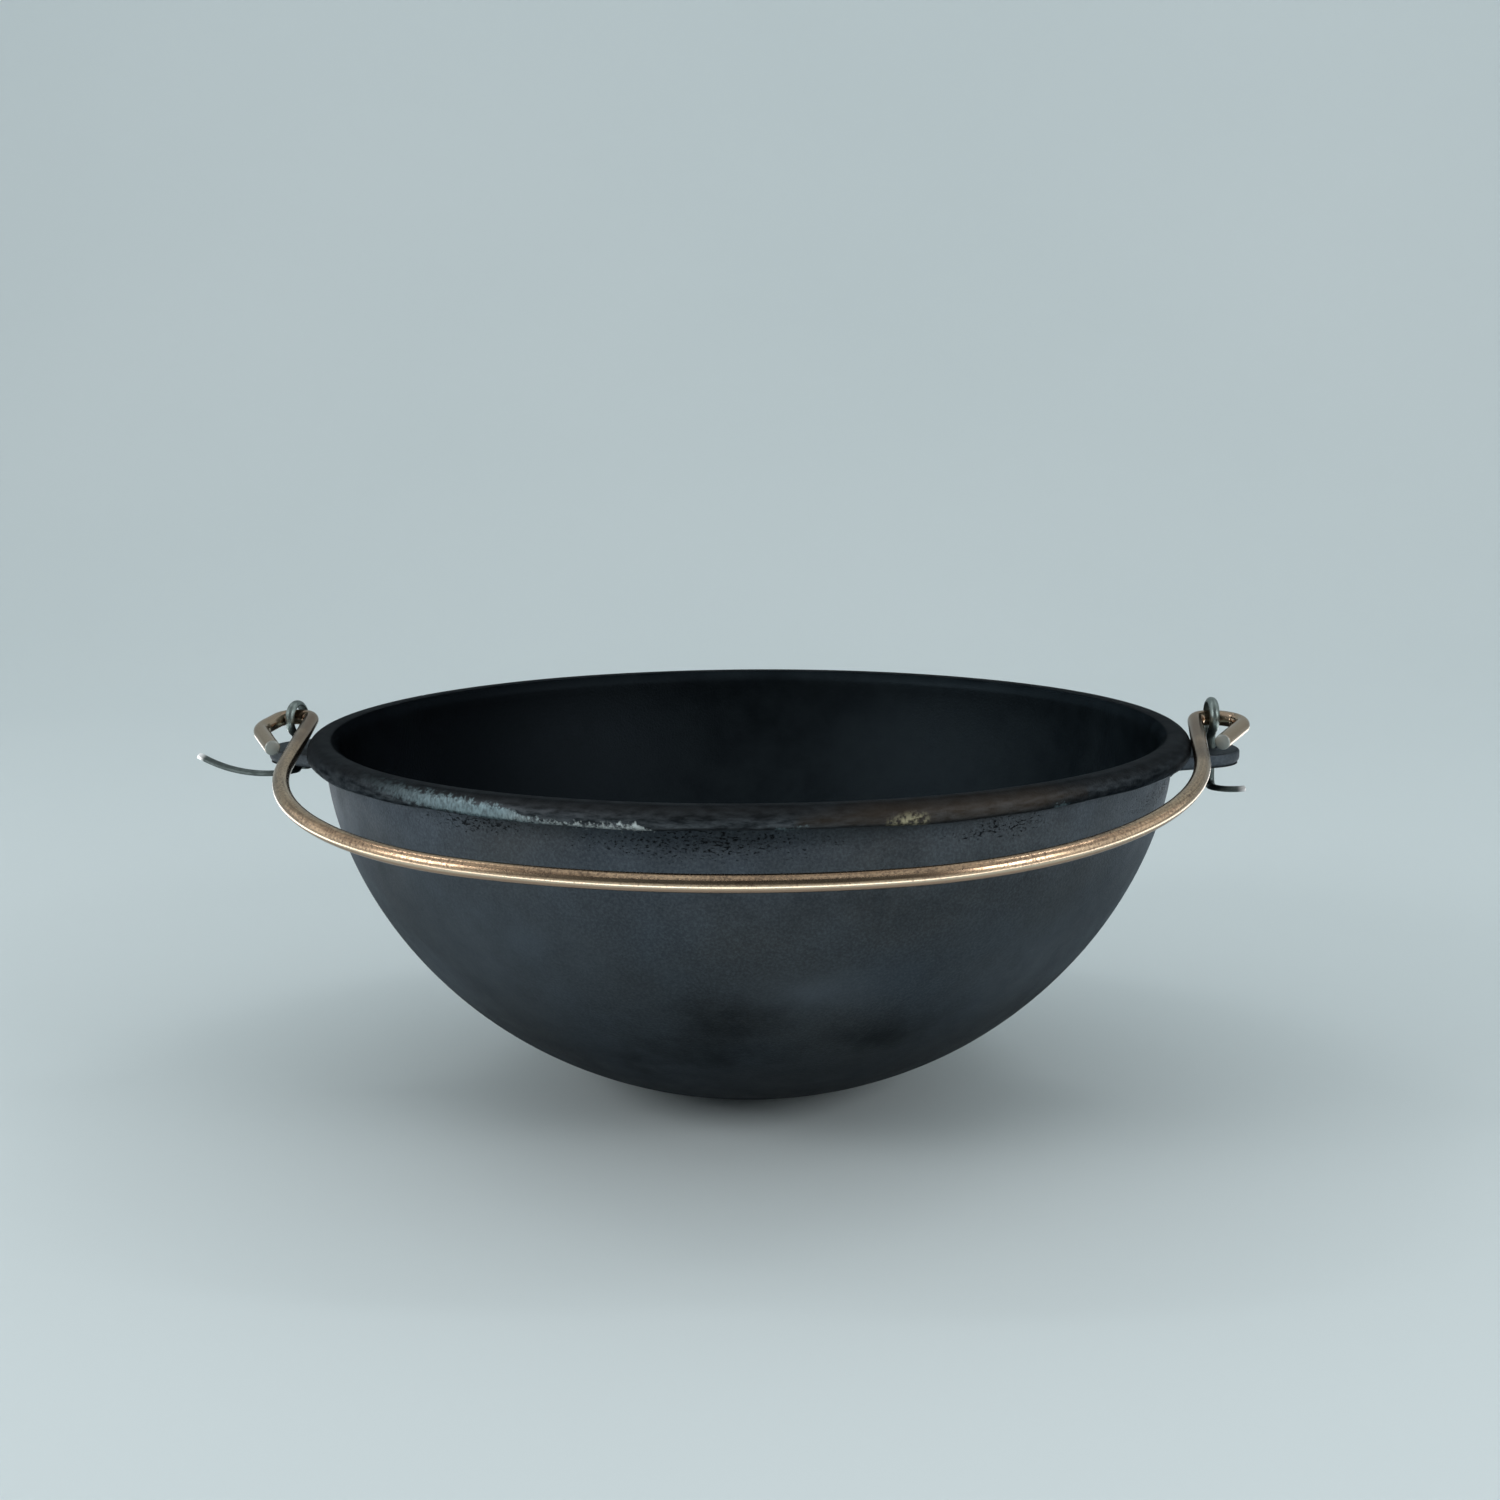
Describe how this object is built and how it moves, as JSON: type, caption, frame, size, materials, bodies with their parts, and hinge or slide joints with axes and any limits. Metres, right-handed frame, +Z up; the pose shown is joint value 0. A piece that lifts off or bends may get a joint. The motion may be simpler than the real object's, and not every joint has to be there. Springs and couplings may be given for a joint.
{
  "type": "cauldron",
  "caption": "Round-bottomed cast iron cauldron with a rounded rim, cast ears, split pins in the ears and a hinged wire bail with hooked ends.",
  "frame": {"origin": "centre of the small flat that the bowl stands on", "axes": "+Z up, X through both ears, the bail hanging forward over -Y"},
  "size_m": [0.3924, 0.3323, 0.1437],
  "materials": {
    "cast_iron": "rough sand-cast skin, oiled dark blue-grey, worn bright on parts of the rim",
    "pin_steel": "dull grey half-round steel wire with bright cut ends",
    "coppered_rod": "drawn steel rod with a thin copper-brown wash, darker where oxidised"
  },
  "bodies": {
    "pot": {"bowl": "cast_iron"},
    "left_pin": {"left_split_pin": "pin_steel"},
    "right_pin": {"right_split_pin": "pin_steel"},
    "bail": {"bail": "coppered_rod"}
  },
  "joints": [
    {"name": "bail_swing", "type": "hinge", "parent": "pot", "child": "bail", "pos_m": [0, 0, 0.136], "axis": [-1, 0, 0], "range_deg": [0, 195]},
    {"name": "left_pin_swivel", "type": "hinge", "parent": "pot", "child": "left_pin", "pos_m": [-0.1706, 0, 0.12], "axis": [0, 0, 1], "range_deg": [0, 28]},
    {"name": "right_pin_swivel", "type": "hinge", "parent": "pot", "child": "right_pin", "pos_m": [0.1706, 0, 0.12], "axis": [0, 0, 1], "range_deg": [-17, 11]}
  ]
}
